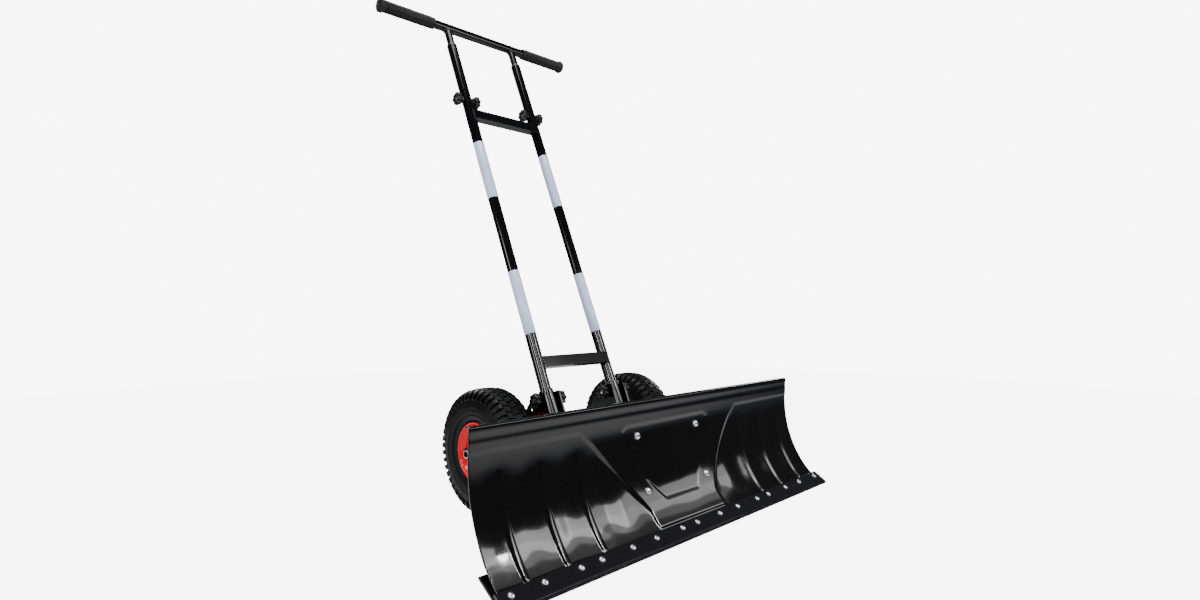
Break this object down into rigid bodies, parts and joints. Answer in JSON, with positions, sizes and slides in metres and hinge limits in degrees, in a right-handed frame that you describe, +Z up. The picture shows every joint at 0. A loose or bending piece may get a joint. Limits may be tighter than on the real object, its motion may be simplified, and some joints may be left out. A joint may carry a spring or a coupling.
{
  "type": "wheeled snow shovel",
  "caption": "Push snow shovel with a wide curved blade on a wheeled chassis and a tilting, telescoping handle with a crossbar grip.",
  "frame": {"origin": "on the ground under the centre of the whole object's bounding box", "axes": "+X to the operator's right, +Y back towards the operator, +Z up"},
  "size_m": [0.9424, 0.74, 1.1418],
  "materials": {
    "frame_paint": "gloss black powder coat",
    "blade_paint": "gloss black enamel",
    "edge_steel": "satin black coated wear steel",
    "red_paint": "gloss red enamel",
    "tyre": "matt tyre rubber",
    "grip_rubber": "ribbed soft rubber",
    "plastic": "moulded satin plastic",
    "zinc_steel": "bright zinc plate",
    "bearing_steel": "ground bearing steel"
  },
  "bodies": {
    "chassis": {"side_arm_left": "frame_paint", "side_arm_right": "frame_paint", "front_cross_tube": "frame_paint", "axle_tube": "frame_paint", "axle": "zinc_steel", "axle_spacer_left": "frame_paint", "axle_spacer_right": "frame_paint", "axle_nut_left": "zinc_steel", "axle_nut_right": "zinc_steel", "yoke_plate_upper": "frame_paint", "yoke_plate_lower": "frame_paint", "king_pin": "zinc_steel", "tilt_bracket_left": "frame_paint", "tilt_bracket_right": "frame_paint", "tilt_pivot_bolt_left": "zinc_steel", "tilt_pivot_bolt_right": "zinc_steel"},
    "wheel_left": {"tyre_left": "tyre", "rim_outer_left": "red_paint", "rim_inner_left": "red_paint", "bearing_outer_left": "bearing_steel", "bearing_inner_left": "bearing_steel"},
    "wheel_right": {"tyre_right": "tyre", "rim_outer_right": "red_paint", "rim_inner_right": "red_paint", "bearing_outer_right": "bearing_steel", "bearing_inner_right": "bearing_steel"},
    "blade": {"blade_shell": "blade_paint", "backing_bar": "frame_paint", "cutting_edge_1": "edge_steel", "cutting_edge_2": "edge_steel", "cutting_edge_3": "edge_steel", "cutting_edge_4": "edge_steel", "blade_bracket": "frame_paint", "swing_plate": "frame_paint", "bracket_bolt_lower_left": "zinc_steel", "bracket_bolt_lower_right": "zinc_steel", "bracket_bolt_upper_left": "zinc_steel", "bracket_bolt_upper_right": "zinc_steel"},
    "handle": {"socket_left": "frame_paint", "socket_right": "frame_paint", "pole_left": "frame_paint", "pole_right": "frame_paint", "crossbar_lower": "frame_paint", "crossbar_upper": "frame_paint", "pole_collar_left": "plastic", "pole_collar_right": "plastic"},
    "handle_top": {"inner_tube_left": "frame_paint", "inner_tube_right": "frame_paint", "handlebar": "frame_paint", "grip_left": "grip_rubber", "grip_right": "grip_rubber"},
    "tilt_knob_outer_left": {"tilt_knob_outer_left": "plastic"},
    "tilt_knob_outer_right": {"tilt_knob_outer_right": "plastic"},
    "tilt_knob_inner_left": {"tilt_knob_inner_left": "plastic"},
    "tilt_knob_inner_right": {"tilt_knob_inner_right": "plastic"},
    "height_knob_outer_left": {"height_knob_outer_left": "plastic"},
    "height_knob_outer_right": {"height_knob_outer_right": "plastic"},
    "height_knob_inner_left": {"height_knob_inner_left": "plastic"},
    "height_knob_inner_right": {"height_knob_inner_right": "plastic"},
    "swing_clamp_knob": {"swing_clamp_knob": "plastic"}
  },
  "joints": [
    {"name": "wheel_left_spin", "type": "hinge", "parent": "chassis", "child": "wheel_left", "pos_m": [-0.2125, 0.0273, 0.127], "axis": [1, 0, 0], "continuous": true},
    {"name": "wheel_right_spin", "type": "hinge", "parent": "chassis", "child": "wheel_right", "pos_m": [0.2125, 0.0273, 0.127], "axis": [1, 0, 0], "continuous": true},
    {"name": "blade_swing", "type": "hinge", "parent": "chassis", "child": "blade", "pos_m": [0, -0.2087, 0.127], "axis": [0, 0, 1], "range_deg": [-30, 30]},
    {"name": "handle_tilt", "type": "hinge", "parent": "chassis", "child": "handle", "pos_m": [0, -0.0557, 0.162], "axis": [-1, 0, 0], "range_deg": [0, 64]},
    {"name": "height_slide", "type": "slide", "parent": "handle", "child": "handle_top", "axis": [0, 0.3907, 0.9205], "range_m": [-0.035, 0.15]},
    {"name": "tilt_knob_outer_left_turn", "type": "hinge", "parent": "chassis", "child": "tilt_knob_outer_left", "pos_m": [-0.1005, -0.02913, 0.22459], "axis": [-1, 0, 0], "range_deg": [0, 720]},
    {"name": "tilt_knob_outer_right_turn", "type": "hinge", "parent": "chassis", "child": "tilt_knob_outer_right", "pos_m": [0.1005, -0.02913, 0.22459], "axis": [1, 0, 0], "range_deg": [0, 720]},
    {"name": "tilt_knob_inner_left_turn", "type": "hinge", "parent": "chassis", "child": "tilt_knob_inner_left", "pos_m": [-0.1005, -0.02913, 0.22459], "axis": [1, 0, 0], "range_deg": [0, 720]},
    {"name": "tilt_knob_inner_right_turn", "type": "hinge", "parent": "chassis", "child": "tilt_knob_inner_right", "pos_m": [0.1005, -0.02913, 0.22459], "axis": [-1, 0, 0], "range_deg": [0, 720]},
    {"name": "height_knob_outer_left_turn", "type": "hinge", "parent": "handle", "child": "height_knob_outer_left", "pos_m": [-0.1005, 0.26626, 0.9205], "axis": [-1, 0, 0], "range_deg": [0, 720]},
    {"name": "height_knob_outer_right_turn", "type": "hinge", "parent": "handle", "child": "height_knob_outer_right", "pos_m": [0.1005, 0.26626, 0.9205], "axis": [1, 0, 0], "range_deg": [0, 720]},
    {"name": "height_knob_inner_left_turn", "type": "hinge", "parent": "handle", "child": "height_knob_inner_left", "pos_m": [-0.1005, 0.26626, 0.9205], "axis": [1, 0, 0], "range_deg": [0, 720]},
    {"name": "height_knob_inner_right_turn", "type": "hinge", "parent": "handle", "child": "height_knob_inner_right", "pos_m": [0.1005, 0.26626, 0.9205], "axis": [-1, 0, 0], "range_deg": [0, 720]},
    {"name": "swing_clamp_knob_turn", "type": "hinge", "parent": "chassis", "child": "swing_clamp_knob", "pos_m": [0, -0.1467, 0.18], "axis": [0, 0, 1], "range_deg": [0, 720]}
  ]
}
